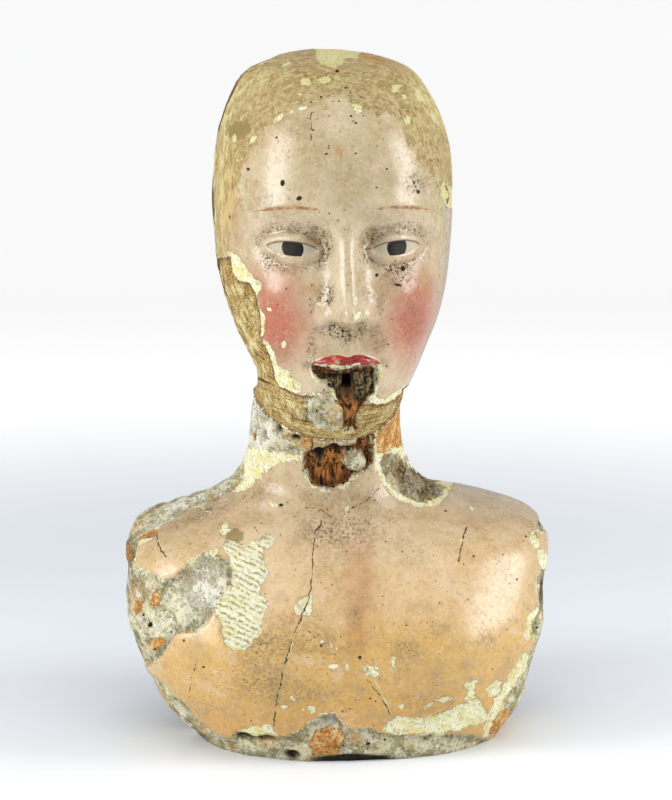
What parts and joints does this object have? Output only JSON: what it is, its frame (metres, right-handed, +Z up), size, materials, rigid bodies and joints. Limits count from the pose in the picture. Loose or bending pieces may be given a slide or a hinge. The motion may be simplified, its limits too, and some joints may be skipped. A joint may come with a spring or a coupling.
{
  "type": "sculpted bust",
  "caption": "Life-size carved and painted wooden head and shoulders, with its gesso coat broken away in places, standing on a flat underside.",
  "frame": {"origin": "centre of the bounding box in X and Y, on the flat underside", "axes": "+Z up, the face looks along -Y, +X to the viewer's right when facing it"},
  "size_m": [0.2526, 0.2, 0.402],
  "materials": {
    "painted_wood": "flesh paint over gesso with an aged satin varnish, chipped to gesso, canvas and bare wood"
  },
  "bodies": {
    "root": {"bust": "painted_wood"}
  },
  "joints": []
}
